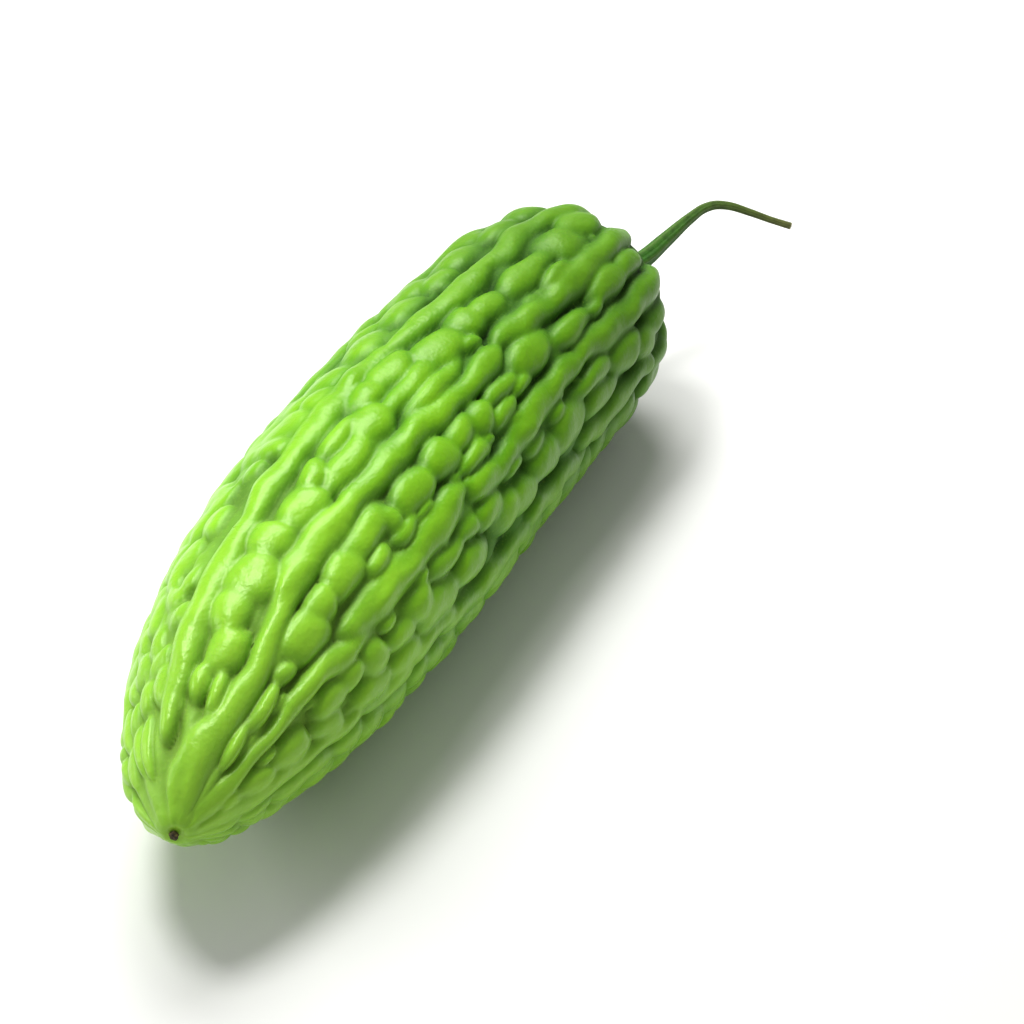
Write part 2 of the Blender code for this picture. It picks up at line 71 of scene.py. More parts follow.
# The core as distances from the stalk end along the axis, with radii: the floor of the
# stalk hollow, the shoulder, the full middle, the taper and the blunt tip
CORE_PROFILE = [
    (4.2, 0.0), (4.2, 2.6), (4.1, 5.0), (2.4, 8.8), (2.4, 13.6), (6.4, 20.6), (15.0, 26.0),
    (29.0, 29.1), (54.0, 30.5), (98.0, 31.8), (147.0, 31.6), (191.0, 25.9), (221.0, 16.2),
    (235.0, 10.0), (241.6, 5.6), (244.0, 3.5), (244.5, 2.3), (244.2, 1.6), (244.1, 0.9),
    (244.1, 0.0),
]
# The outline is measured over so many points of the curve through them
OUTLINE_POINTS = 4000

# How high ridges and warts stand above the core, and the core radii between which that
# height grows from nothing to full at either end
RIDGE_HEIGHT = 3.7
WART_HEIGHT = 4.1
STALK_FADE = (5.0, 30.0)
TIP_FADE = (1.5, 16.0)
# The floor of the furrows, over the core, and how much slow waves raise or lower it
FURROW_FLOOR = 0.95
FLOOR_WAVE = 0.4
# A raised feature is a pillow: how square it is in plan and how steep its sides are, and
# the rounding of the crease where two of them meet
PILLOW_SQUARENESS = 2.3
PILLOW_STEEPNESS = 0.5
CREASE_ROUNDING = 0.3
# The rounded end of a ridge's run
RUN_END = 6.0
# Warts crowd each other, so each is this much larger than its free outline
CROWDING = 1.29
# Slow waves over the skin that keep any ridge or wart from being regular: waves per
# millimetre along the fruit times 2 pi, waves round it, and where each wave starts. They
# move a feature along in millimetres and round in degrees, and change its height
WAVES = [(0.16, 9, 0.4), (-0.25, 12, 1.9), (0.40, -7, 3.1), (0.11, 15, 5.2)]
WANDER_ALONG = 0.45
WANDER_ROUND = 0.45
WANDER_HEIGHT = 0.035

# Ridges on the side that faces up. Each run is (percent of the length from the stalk end,
# degrees round the axis from +Y through the top, half width in degrees), and a ridge is
# three or four runs whose ends pass each other
RIDGE_RUNS = [
    [(-4, 148, 8), (8, 148, 8.5), (20, 148, 8.5), (24, 145.5, 7.5), (27, 142.5, 6)],
    [(25, 145, 6), (30, 145.5, 7), (40, 148, 7.5), (48, 150, 7), (52, 147.5, 6), (54.5, 143.5, 5)],
    [(53.5, 143, 7), (58, 144.5, 8), (64, 146, 8.5), (70, 145.5, 9), (75, 144, 8), (78, 142, 5)],
    [(76, 150, 6), (79, 149, 7.5), (83, 146, 6.5), (88, 148, 6.5), (93, 147, 8.5), (96.5, 148, 16),
     (99.5, 150, 24)],
    [(-4, 113, 8), (9, 117, 8.5), (20, 119, 8), (28, 117, 8.5), (32, 115.5, 7.5), (35, 114, 6)],
    [(34.5, 115.5, 7), (40, 118, 6), (46, 117, 6.5), (54, 113, 7.5), (60, 112.5, 7.5), (67, 110, 6)],
    [(66, 111, 7), (74, 108.5, 9), (80, 112, 7.5), (86, 117, 9), (90, 115, 13), (94, 105, 22),
     (97, 99, 27), (99.5, 96, 29)],
    [(-4, 80, 9), (8, 83, 10), (15, 80, 9), (21, 83, 8), (26, 79, 6)],
    [(24, 83, 7), (30, 84, 8), (37, 80, 7.5), (43, 81, 6)],
    [(41, 77, 6), (50, 76, 8), (60, 77, 8), (68, 75, 7.5), (72, 76, 6)],
    [(70, 77, 7.5), (76, 74, 9.5), (82, 72, 10.5), (88, 71, 11), (92, 70, 10), (94.5, 69, 8)],
]
# Where other ridges run, in degrees, and how far, in percent. They all start here and break
# into runs of these lengths, which pass each other a little
OTHER_RIDGES = [(6, 90), (42, 60), (186, 99.5), (226, 90), (261, 99.5), (296, 90), (331, 99.5)]
RIDGES_START = -4.0
RUN_LENGTHS = (9.0, 21.0)
RUN_OVERLAP = 1.0
# Each run is set off to a side and sways along its points, in degrees. There is a point for
# every so many percent, but never fewer than so many
RUN_SHIFT = 5.0
RUN_SWAY = 2.0
RUN_HALF_WIDTHS = (5.6, 8.4)
COURSE_STEP = 5.0
COURSE_POINTS = 3
# Ridges that reach the tip widen there until they touch: over which percent, by how many
# degrees
TIP_STRETCH = (89, 99)
TIP_WIDENING = 19.0
# Knots along every run, as far as here in percent, and not so close to its ends: the step
# from one to the next and the half length in percent, the half width in degrees, and how
# far they rise over the ridge. They sway to a side by so many degrees on the upper ridges
# and on the others
KNOTS_END = 90
KNOTS_AFTER_START = 2.0
KNOTS_BEFORE_END = 1.5
KNOT_STEPS = (3.5, 8.0)
KNOT_HALF_LENGTHS = (2.4, 5.4)
KNOT_HALF_WIDTHS = (4.6, 7.2)
KNOT_RISES = (-0.3, 0.6)
TOP_SWAY = 1.0
OTHER_SWAY = 2.0
# One flank is smoother: its middle and half width in degrees, the share of that width which
# is smooth in full, the stretch in percent over which that sets in, by how much its relief
# is lower, its creases rounder, and the dark green of its furrows, partly painted shade, paler
CALM_FLANK = (34.0, 38.0)
CALM_FULL = 0.35
CALM_STRETCH = (16, 54)
CALM_SHARE = 0.45
CALM_ROUNDING = 0.8
CALM_PALENESS = 0.3
# Towards the stalk the creases are rounder too, from here to here in percent
SOFT_STRETCH = (36, 6)
SOFT_ROUNDING = 0.9
# Towards the tip that flank carries broad warts set like bricks: the first and last place
# in percent, the columns in degrees, and the step from row to row in percent. Every other
# row is set off by so many degrees. Warts are moved by up to so much, and rows and half
# sizes are drawn between these limits
FLANK_ROWS = (60.0, 93.0, 3.3)
FLANK_COLUMNS = (4, 19, 34, 49)
FLANK_STAGGER = 8.0
FLANK_SHIFT = (1.0, 3.0)
FLANK_STEP_SHARES = (0.8, 1.2)
FLANK_HALF_LENGTHS = (1.3, 2.4)
FLANK_HALF_WIDTHS = (5.0, 7.8)
# Small low warts scattered in the furrows, with half sizes in percent and in degrees
BUDS = 260
BUD_STRETCH = (6, 92)
BUD_HALF_LENGTHS = (0.9, 1.7)
BUD_HALF_WIDTHS = (2.0, 3.6)
BUD_HEIGHTS = (1.8, 3.0)
# The length times the width, in percent and degrees, from which a wart counts as broad, and
# the share of a broad one's height that the smallest would have
BROAD_WART = 14.0
SMALL_WART_SHARE = 0.74

# Warts on the side that faces up, furrow by furrow: (percent of the length, degrees,
# half length in percent, half width in degrees)
WARTS = [
    (9, 131, 2.6, 6), (14.5, 131, 4.2, 6), (19, 135.5, 1.8, 3.4), (24.5, 134, 3.7, 4.6),
    (32.2, 128.5, 3.8, 6.6), (36.8, 134.5, 2.2, 3.6), (39.3, 129, 2.9, 4.4), (41.2, 137, 2.2, 3.6),
    (44.5, 130.5, 2.2, 5.4), (45.6, 137.8, 1.2, 2), (49.6, 138.5, 3.3, 4.2), (48.5, 128, 2.2, 5.2),
    (52.9, 128.3, 2.8, 6.6), (58.8, 128.4, 3.0, 6.9), (59.8, 137, 1.6, 2), (63.2, 135.3, 2.1, 3.5),
    (63.6, 127.8, 1.5, 5), (67.4, 123.4, 3.7, 6.3), (68.5, 134.8, 2.1, 4), (72.4, 125.3, 2.7, 7.4),
    (76.6, 126, 1.9, 6.4), (80.4, 129, 2.8, 9.4), (84.6, 131, 1.4, 5), (88.5, 132.5, 2.5, 5.5),
    (92.6, 130, 2.0, 5),
    (8.5, 97, 3.0, 9), (14.5, 101.5, 3.2, 9.5), (19.6, 112, 2.8, 3.4), (21.8, 100.5, 4.6, 6.8),
    (30, 99.5, 2.7, 6), (33.8, 97, 2.5, 7.6), (36.8, 106.5, 1.6, 3.4), (39.6, 97.8, 3.4, 8.7),
    (45.4, 108, 5.2, 4.2), (46.8, 99.2, 5.0, 5.4), (45.4, 88, 3.1, 6.8), (50.8, 87, 3.0, 5.8),
    (54.2, 96.5, 3.0, 7.7), (60.4, 100, 4.3, 5.8), (57.6, 89.6, 3.1, 4.6), (63.7, 90.8, 2.3, 5),
    (67.9, 95.5, 2.9, 8.6), (72.8, 90.8, 2.3, 8.7), (77.4, 92.4, 2.6, 11.8), (81.6, 89.2, 2.5, 9.2),
    (85.2, 96, 2.5, 10), (89.4, 101, 1.9, 5.6), (88.5, 87.2, 1.8, 5.8),
    (9, 164, 2.8, 7), (12.6, 169, 1.8, 7), (17.6, 163.5, 3.4, 7), (24.6, 169, 3.7, 6.2),
    (25.6, 157.8, 4.8, 4.4), (32.6, 165.5, 3.5, 8.7), (34, 155.6, 1.9, 3.3), (38.8, 167.5, 3.4, 7.6),
    (39.7, 157, 2.1, 3.6), (44.8, 156.8, 1.9, 2.7), (44.3, 171, 2.6, 7), (48.8, 168, 3.1, 7),
    (51.6, 159.5, 2.6, 5.2), (56, 157, 2.4, 4.4), (57, 170, 3.2, 6.3), (60.7, 158, 3.0, 4.8),
    (64.2, 171, 3.9, 7.2), (67, 162, 2.5, 6.3), (65.4, 155.2, 1.3, 3), (71.2, 165.4, 2.4, 6),
    (71.2, 177, 2.7, 6), (71.6, 155.3, 1.5, 2.7), (75.5, 163.5, 2.0, 7.8), (76.8, 176.5, 3.0, 6.4),
    (79.2, 160, 1.8, 6.8), (82.2, 161.5, 2.1, 6.6), (83.6, 175, 2.1, 9.5), (88.6, 168.5, 2.7, 9.6),
    (93, 168, 2.1, 9), (91, 157, 1.3, 3.5), (96, 164, 1.2, 8),
    (8.5, 61, 3.0, 9.5), (14.5, 64, 3.2, 8), (16, 52, 2.4, 7), (21.5, 59, 3.4, 10), (27, 66, 2.6, 6.5),
    (28.5, 53.5, 3.2, 8), (34, 62, 3.4, 9.5), (37.5, 51.5, 2.4, 6), (41, 62.5, 3.0, 9),
]
# The furrows that a rule fills: from and to in degrees, and from and to in percent. Down
# each go rows of either one broad wart or a staggered pair, which shares out the width
OTHER_FURROWS = [
    (191.5, 220.5, 6, 95), (231.5, 255.5, 6, 95), (266.5, 290.5, 6, 95), (301.5, 325.5, 6, 95),
    (336.5, 360.5, 6, 95), (11.5, 36.5, 6, 60), (47.5, 72.5, 45, 60),
]
# Half lengths in percent, and the step to the next row in half lengths
WART_HALF_LENGTHS = (1.4, 2.9)
ROW_STEPS = (1.72, 1.9)
# How often a broad wart comes, how far it strays and how much it fills of the furrow
BROAD_SHARE = 0.35
BROAD_SWAY = 0.12
BROAD_FILL = 0.88
# How a pair shares out the furrow, its stagger in percent, how far out in their shares the
# two lie, how much of them they fill, and how long the second is against the first
PAIR_SHARES = (0.40, 0.60)
PAIR_STAGGER = 1.1
PAIR_PLACE = 0.95
PAIR_FILL = 1.06
SECOND_LENGTHS = (0.75, 1.0)


def smooth_curve(stations, values, at):
    """A cubic through the given points, with each slope taken from its neighbours."""
    stations = np.asarray(stations, dtype=float)
    values = np.asarray(values, dtype=float)
    slopes = np.gradient(values, stations)
    at = np.clip(at, stations[0], stations[-1])
    left = np.clip(np.searchsorted(stations, at, side="right") - 1, 0, len(stations) - 2)
    span = stations[left + 1] - stations[left]
    t = (at - stations[left]) / span
    return (values[left] * (1 + 2 * t) * (1 - t) ** 2
            + slopes[left] * span * t * (1 - t) ** 2
            + values[left + 1] * t * t * (3 - 2 * t)
            + slopes[left + 1] * span * t * t * (t - 1))


def smooth_step(low, high, value):
    """From 0 at low to 1 at high, flat at both; low may be the larger one."""
    t = np.clip((value - low) / (high - low), 0.0, 1.0)
    return t * t * (3 - 2 * t)


class Core:
    """The turned core: distance along its outline, place along the axis, and radius."""

    def __init__(self):
        along, radius = np.array(CORE_PROFILE).T
        chord = np.concatenate([[0], np.cumsum(np.hypot(np.diff(along), np.diff(radius)))])
        fine = np.linspace(0, chord[-1], OUTLINE_POINTS)
        self.along = smooth_curve(chord, along, fine)
        self.radius = np.maximum(smooth_curve(chord, radius, fine), 0.0)
        steps = np.hypot(np.diff(self.along), np.diff(self.radius))
        self.run = np.concatenate([[0], np.cumsum(steps)])
        rise = np.gradient(self.radius, self.run)
        advance = np.gradient(self.along, self.run)
        size = np.hypot(rise, advance)
        self.normal_along = -rise / size
        self.normal_out = advance / size

    def at(self, run):
        """Place along the axis, radius and outward direction, so far along the outline."""
        names = ("along", "radius", "normal_along", "normal_out")
        return [np.interp(run, self.run, getattr(self, name)) for name in names]

    def run_at_percent(self, percent):
        """Distance along the outline at a place given in percent of the fruit's length."""
        first = int(np.argmin(self.along[:len(self.along) // 2]))
        place = np.asarray(percent, dtype=float) * FRUIT_LENGTH / 100
        over = np.minimum(place, 0.0)
        return np.interp(place, self.along[first:], self.run[first:]) + over


def wrapped(degrees):
    """The same direction between -180 and 180 degrees."""
    return (degrees + 180.0) % 360.0 - 180.0


def wave_sum(run, degrees, start):
    """The slow waves over the skin. Each start gives waves that are unlike the others."""
    turn = np.radians(degrees)
    return sum(np.sin(along * run + around * turn + phase + start * around)
               for along, around, phase in WAVES)


def end_fade(core, run):
    """Ridges and warts sink into the skin towards both ends."""
    along, radius = core.at(run)[:2]
    by_stalk = smooth_step(*STALK_FADE, radius)
    by_tip = smooth_step(*TIP_FADE, radius)
    return np.where(along < FRUIT_LENGTH / 2, by_stalk, by_tip)


def calmness(core, run, degrees):
    """From 0 to 1 towards the middle of the smooth flank."""
    middle, half_width = CALM_FLANK
    across = smooth_step(half_width, CALM_FULL * half_width, np.abs(wrapped(degrees - middle)))
    start, end = core.run_at_percent(CALM_STRETCH)
    return across * smooth_step(start, end, run)


def softness(core, run):
    """From 0 to 1 towards the stalk end."""
    start, end = core.run_at_percent(SOFT_STRETCH)
    return smooth_step(start, end, run)


class Relief:
    """The height of the skin over the core: the rounded union of ridges and warts."""

    def __init__(self, core, run, degrees):
        self.core = core
        self.run = run + WANDER_ALONG * wave_sum(run, degrees, 0.0)
        self.degrees = degrees + WANDER_ROUND * wave_sum(run, degrees, 2.0)
        self.vigour = 1 + WANDER_HEIGHT * wave_sum(run, degrees, 4.0)
        floor = np.maximum(FURROW_FLOOR + FLOOR_WAVE * wave_sum(run, degrees, 1.0), 0.0)
        self.rounding = CREASE_ROUNDING * (1 + CALM_ROUNDING * calmness(core, run, degrees)
                                           + SOFT_ROUNDING * softness(core, run))
        self.total = np.exp(floor / self.rounding)

    def add(self, near, distance, height):
        """Raise a pillow over the points near it, whose outline is at distance 1."""
        inside = np.maximum(1.0 - distance, 0.0)
        self.total[near] += np.expm1(height * inside ** PILLOW_STEEPNESS / self.rounding[near])

    def add_ridge(self, course):
        """Raise one run of a ridge along points of percent, degrees and half width."""
        percent, angle, half_width = np.array(course, dtype=float).T
        places = self.core.run_at_percent(percent)
        near = np.flatnonzero((self.run > places[0]) & (self.run < places[-1]))
        run = self.run[near]
        aside = wrapped(self.degrees[near] - smooth_curve(places, angle, run))
        aside = np.abs(aside) / smooth_curve(places, half_width, run)
        before = np.maximum(places[0] + RUN_END - run, 0.0) / RUN_END
        after = np.maximum(run - places[-1] + RUN_END, 0.0) / RUN_END
        distance = aside ** PILLOW_SQUARENESS + before ** 2 + after ** 2
        self.add(near, distance, RIDGE_HEIGHT)

    def add_wart(self, percent, angle, half_length, half_width, height):
        """Raise one wart; its place and half length are percent, the others degrees."""
        place = self.core.run_at_percent(percent)
        reach = half_length * FRUIT_LENGTH / 100
        near = np.flatnonzero(np.abs(self.run - place) < reach)
        ahead = np.abs(self.run[near] - place) / reach
        aside = np.abs(wrapped(self.degrees[near] - angle)) / half_width
        distance = ahead ** PILLOW_SQUARENESS + aside ** PILLOW_SQUARENESS
        self.add(near, distance, height)

    def height(self):
        """The height over the core in millimetres, with creases rounded."""
        return self.rounding * np.log(self.total) * self.vigour


def other_ridge_runs(draw):
    """Ridges on the sides and below: each wanders, and breaks into short runs that shift."""
    runs = []
    for angle, reach in OTHER_RIDGES:
        start = RIDGES_START
        while start < reach:
            end = start + draw.uniform(*RUN_LENGTHS)
            if end > reach - RUN_LENGTHS[0] or start > TIP_STRETCH[0] - RUN_LENGTHS[0]:
                end = reach
            shift = draw.uniform(-RUN_SHIFT, RUN_SHIFT) * (start < TIP_STRETCH[0])
            course = []
            count = max(COURSE_POINTS, int((end - start) / COURSE_STEP))
            for percent in np.linspace(start, end, count):
                widening = TIP_WIDENING * smooth_step(*TIP_STRETCH, percent)
                course.append((percent, angle + shift + draw.uniform(-RUN_SWAY, RUN_SWAY),
                               draw.uniform(*RUN_HALF_WIDTHS) + widening))
            runs.append(course)
            start = end if end == reach else end - RUN_OVERLAP
    return runs


def other_warts(draw):
    """Walk down each furrow with either one broad wart or a staggered pair at a time."""
    warts = []
    for left, right, percent, end in OTHER_FURROWS:
        middle = (left + right) / 2
        spread = (right - left) / 2
        while percent < end:
            half_length = draw.uniform(*WART_HALF_LENGTHS)
            if draw.random() < BROAD_SHARE:
                centre = middle + draw.uniform(-BROAD_SWAY, BROAD_SWAY) * spread
                warts.append((percent + half_length, centre, half_length, BROAD_FILL * spread))
            else:
                share = draw.uniform(*PAIR_SHARES)
                stagger = draw.uniform(-PAIR_STAGGER, PAIR_STAGGER)
                rest = 1 - share
                warts.append((percent + half_length + stagger, left + share * spread * PAIR_PLACE,
                              half_length, share * spread * PAIR_FILL))
                warts.append((percent + half_length - stagger, right - rest * spread * PAIR_PLACE,
                              half_length * draw.uniform(*SECOND_LENGTHS), rest * spread * PAIR_FILL))
            percent += half_length * draw.uniform(*ROW_STEPS)
    return warts


def flank_warts(draw):
    """Broad warts in staggered rows, each moved and sized by a draw."""
    warts = []
    percent, end, step = FLANK_ROWS
    along_shift, round_shift = FLANK_SHIFT
    offset = 0.0
    while percent < end:
        for column in FLANK_COLUMNS:
            warts.append((percent + draw.uniform(-along_shift, along_shift),
                          column + offset + draw.uniform(-round_shift, round_shift),
                          draw.uniform(*FLANK_HALF_LENGTHS), draw.uniform(*FLANK_HALF_WIDTHS)))
        percent += step * draw.uniform(*FLANK_STEP_SHARES)
        offset = FLANK_STAGGER - offset
    return warts


def ridge_knots(runs, sway, draw):
    """Low knots that make a ridge lumpy, along each of its runs, up to sway to a side."""
    knots = []
    for course in runs:
        percent, angle, half_width = np.array(course, dtype=float).T
        place = percent[0] + KNOTS_AFTER_START
        while place < min(percent[-1], KNOTS_END) - KNOTS_BEFORE_END:
            middle = float(smooth_curve(percent, angle, place))
            knots.append((place, middle + draw.uniform(-sway, sway),
                          draw.uniform(*KNOT_HALF_LENGTHS), draw.uniform(*KNOT_HALF_WIDTHS),
                          RIDGE_HEIGHT + draw.uniform(*KNOT_RISES)))
            place += draw.uniform(*KNOT_STEPS)
    return knots


def furrow_buds(draw):
    """Small low warts anywhere, which show only where they land in an open furrow."""
    return [(draw.uniform(*BUD_STRETCH), draw.uniform(0, 360), draw.uniform(*BUD_HALF_LENGTHS),
             draw.uniform(*BUD_HALF_WIDTHS), draw.uniform(*BUD_HEIGHTS)) for _ in range(BUDS)]


def wart_height(half_length, half_width):
    """Small warts stand lower than broad ones."""
    breadth = min(1.0, half_length * half_width / BROAD_WART)
    return WART_HEIGHT * (SMALL_WART_SHARE + (1 - SMALL_WART_SHARE) * breadth)


def skin_relief(core, run, degrees):
    """How high the skin stands over the core, before it sinks in towards the ends."""
    draw = random.Random(SEED)
    relief = Relief(core, run, degrees)
    other_runs = other_ridge_runs(draw)
    for course in RIDGE_RUNS + other_runs:
        relief.add_ridge(course)
    knots = ridge_knots(RIDGE_RUNS, TOP_SWAY, draw) + ridge_knots(other_runs, OTHER_SWAY, draw)
    for lump in knots + furrow_buds(draw):
        relief.add_wart(*lump)
    warts = WARTS + other_warts(draw) + flank_warts(draw)
    for percent, angle, half_length, half_width in warts:
        height = wart_height(half_length, half_width)
        relief.add_wart(percent, angle, CROWDING * half_length, CROWDING * half_width, height)
    return relief.height() * (1 - CALM_SHARE * calmness(core, run, degrees))


def bend(along, radius, degrees):
    """Carry a point of the straight fruit, given round its axis, onto the bent axis."""
    half = FRUIT_LENGTH / 2
    x = half - along
    share = x / half
    tip_share = np.minimum(share, 0.0)
    stalk_share = np.maximum(share, 0.0)
    y = -BEND * share ** 2 + TIP_HOOK * tip_share ** END_POWER
    z = -STALK_DROOP * stalk_share ** END_POWER
    slope_y = (-2 * BEND * share + END_POWER * TIP_HOOK * tip_share ** (END_POWER - 1)) / half
    slope_z = -END_POWER * STALK_DROOP * stalk_share ** (END_POWER - 1) / half
    forward = np.stack([np.ones_like(x), slope_y, slope_z], axis=-1)
    forward /= np.linalg.norm(forward, axis=-1, keepdims=True)
    side = np.stack([-slope_y, np.ones_like(x), np.zeros_like(x)], axis=-1)
    side /= np.linalg.norm(side, axis=-1, keepdims=True)
    top = np.cross(forward, side)
    angle = np.radians(degrees)[..., None]
    centre = np.stack([x + CENTRE_X, y + CENTRE_Y, z + AXIS_HEIGHT], axis=-1)
    outward = np.cos(angle) * side + np.sin(angle) * top
    return centre + np.asarray(radius)[..., None] * outward


def ball_mesh(name, meridians, rings):
    """A ball of radius 1 whose poles lie on Z, and the places of its vertices."""
    mesh = bpy.data.meshes.new(name)
    ball = bmesh.new()
    bmesh.ops.create_uvsphere(ball, u_segments=meridians, v_segments=rings, radius=1.0)
    ball.to_mesh(mesh)
    ball.free()
    places = np.empty(len(mesh.vertices) * 3)
    mesh.vertices.foreach_get("co", places)
    return mesh, places.reshape(-1, 3)


def pole_angles(ball_places):
    """From 0 to 1 down from the upper pole, and the turn round the poles in radians."""
    x, y, z = ball_places.T
    return np.arccos(np.clip(z, -1.0, 1.0)) / math.pi, np.arctan2(y, x)


def fit_to_box(places, node):
    """Stretch the places until they fill the box of a CAD node."""
    low, high = (np.array(corner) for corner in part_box(node))
    lowest = places.min(axis=0)
    return low + (places - lowest) / (places.max(axis=0) - lowest) * (high - low)


def keep_value(mesh, name, values):
    """Keep a value at each vertex for the material to read."""
    layer = mesh.attributes.new(name, "FLOAT", "POINT")
    layer.data.foreach_set("value", values.astype(np.float32))


def smooth_piece(name, mesh, places):
    """Move the vertices to their places, and put the piece into the scene."""
    mesh.vertices.foreach_set("co", places.ravel())
    mesh.update()
    mesh.shade_smooth()
    piece = bpy.data.objects.new(name, mesh)
    bpy.context.collection.objects.link(piece)
    return piece


# The skin is a ball whose rings run down the outline of the core, just fine enough to stay
# under 200,000 triangles
MERIDIANS = 324
RINGS = 306
core = Core()
fruit_mesh, ball_places = ball_mesh("fruit_skin", MERIDIANS, RINGS)
share, turn = pole_angles(ball_places)
run = share * core.run[-1]
degrees = np.degrees(turn)
height = skin_relief(core, run, degrees)
fade = end_fade(core, run)
calm = calmness(core, run, degrees)
# For the colour: 1 on crests and at both ends, down to 0 on the floor of the furrows, where
# the darker green it gives is partly painted shade
depth = 1 - np.clip(height / (1 - CALM_SHARE * calm) / RIDGE_HEIGHT, 0, 1)
crest = 1 - depth * np.sqrt(fade) * (1 - CALM_PALENESS * calm)
along, radius, normal_along, normal_out = core.at(run)
height = height * fade
place = bend(along + height * normal_along, radius + height * normal_out, degrees) * MM
# The underside is flat where the fruit rests
place[:, 2] = np.maximum(place[:, 2], 0.0)
fruit = smooth_piece("fruit_skin", fruit_mesh, fit_to_box(place, "fruit"))
keep_value(fruit_mesh, "relief", crest)
keep_value(fruit_mesh, "along", along / FRUIT_LENGTH)


def linear(hex_colour):
    """An sRGB colour written as RRGGBB, as Blender's linear RGBA."""
    channels = [int(hex_colour[i:i + 2], 16) / 255 for i in (0, 2, 4)]
    curve = [c / 12.92 if c <= 0.04045 else ((c + 0.055) / 1.055) ** 2.4 for c in channels]
    return (*curve, 1.0)


def add_node(tree, kind, inputs, stops=(), **settings):
    """A node with its settings, and its inputs, by name or number, linked or set.

    A colour ramp also gets its stops, as positions with RRGGBB colours. A Mix node's
    colour inputs share their names with others, so they go by number: 0 for how much of
    the second colour, then 6 and 7 for the two colours.
    """
    node = tree.nodes.new(kind)
    for name, value in settings.items():
        setattr(node, name, value)
    for socket, value in inputs.items():
        if isinstance(value, bpy.types.NodeSocket):
            tree.links.new(value, node.inputs[socket])
        else:
            node.inputs[socket].default_value = value
    for index, (position, colour) in enumerate(stops):
        elements = node.color_ramp.elements
        element = elements[index] if index < len(elements) else elements.new(position)
        element.position = position
        element.color = linear(colour)
    return node


def new_material(name):
    """A material, its node tree, its shader, and where a point lies in millimetres."""
    material = bpy.data.materials.new(name)
    material.use_nodes = True
    tree = material.node_tree
    where = add_node(tree, "ShaderNodeTexCoord", {}).outputs["Object"]
    in_mm = add_node(tree, "ShaderNodeMapping", {"Vector": where, "Scale": (1 / MM,) * 3})
    return material, tree, tree.nodes["Principled BSDF"], in_mm.outputs["Vector"]


# Waxy gourd skin, grown and unpolished: yellow-green on the crests and deep green in the
# furrows, a green that is partly the skin's own and partly painted shade. It is painted paler
# towards the tip as painted light, and darker towards the stalk as painted shade. The wax gives
# it soft, faintly green highlights, duller in the furrows and by the stalk, and a little light
# sinks in.
# Clouds about 17 mm across and flecks of half a millimetre break up the green. Pores of a
# millimetre and dents of 5 mm break up the highlights
CLOUDS_PER_MM = 0.06
FLECKS_PER_MM = 1.6
PORES_PER_MM = 1.1
DENTS_PER_MM = 0.22
skin, tree, shader, in_mm = new_material("waxy_gourd_skin")
relief = add_node(tree, "ShaderNodeAttribute", {}, attribute_name="relief").outputs["Fac"]
along_fruit = add_node(tree, "ShaderNodeAttribute", {}, attribute_name="along").outputs["Fac"]
# The ramp's dark green in the furrows is partly the skin's own green and partly painted shade
green = add_node(tree, "ShaderNodeValToRGB", {"Fac": relief},
                 stops=[(0.1, "235402"), (0.5, "478406"), (0.85, "6fb20a"), (1.0, "80c010")])
cloud = add_node(tree, "ShaderNodeTexNoise", {"Vector": in_mm, "Scale": CLOUDS_PER_MM,
                                              "Detail": 3.0, "Roughness": 0.55}).outputs["Fac"]
cloud_green = add_node(tree, "ShaderNodeValToRGB", {"Fac": cloud},
                       stops=[(0.35, "b4d058"), (0.65, "ffffff")])
mottled = add_node(tree, "ShaderNodeMix",
                   {0: 0.35, 6: green.outputs["Color"], 7: cloud_green.outputs["Color"]},
                   data_type="RGBA", blend_type="MULTIPLY").outputs[2]
fleck = add_node(tree, "ShaderNodeTexNoise",
                 {"Vector": in_mm, "Scale": FLECKS_PER_MM, "Detail": 2.0}).outputs["Fac"]
fleck_share = add_node(tree, "ShaderNodeMapRange", {"Value": fleck, "From Min": 0.55, "From Max": 0.75,
                                                    "To Min": 0.0, "To Max": 0.18}).outputs[0]
flecked = add_node(tree, "ShaderNodeMix", {0: fleck_share, 6: mottled, 7: linear("9ccc38")},
                   data_type="RGBA").outputs[2]
# Paler towards the tip: painted light
tip_share = add_node(tree, "ShaderNodeMapRange", {"Value": along_fruit, "From Min": 0.5, "From Max": 1.0,
                                                  "To Min": 0.0, "To Max": 0.5}).outputs[0]
lit_pale_tip = add_node(tree, "ShaderNodeMix", {0: tip_share, 6: flecked, 7: linear("a0cc4c")},
                    data_type="RGBA").outputs[2]
# Darker towards the stalk end: painted shade
stalk_share = add_node(tree, "ShaderNodeMapRange", {"Value": along_fruit, "From Min": 0.15,
                                                    "From Max": 0.7, "To Min": 1.0,
                                                    "To Max": 0.0}).outputs[0]
shaded_stalk_end = add_node(tree, "ShaderNodeMix", {0: stalk_share, 6: lit_pale_tip, 7: linear("b2b8a8")},
                    data_type="RGBA", blend_type="MULTIPLY").outputs[2]
tree.links.new(shaded_stalk_end, shader.inputs["Base Color"])
bloom = add_node(tree, "ShaderNodeMapRange", {"Value": along_fruit, "From Min": 0.2, "From Max": 0.7,
                                              "To Min": 0.13, "To Max": 0.0}).outputs[0]
wax = add_node(tree, "ShaderNodeMapRange", {"Value": cloud, "From Min": 0.3, "From Max": 0.7,
                                            "To Min": 0.25, "To Max": 0.36}).outputs[0]
dull = add_node(tree, "ShaderNodeMapRange", {"Value": relief, "From Min": 0.3, "From Max": 0.85,
                                             "To Min": 0.45, "To Max": 0.0}).outputs[0]
waxed = add_node(tree, "ShaderNodeMath", {0: bloom, 1: wax}, operation="ADD").outputs[0]
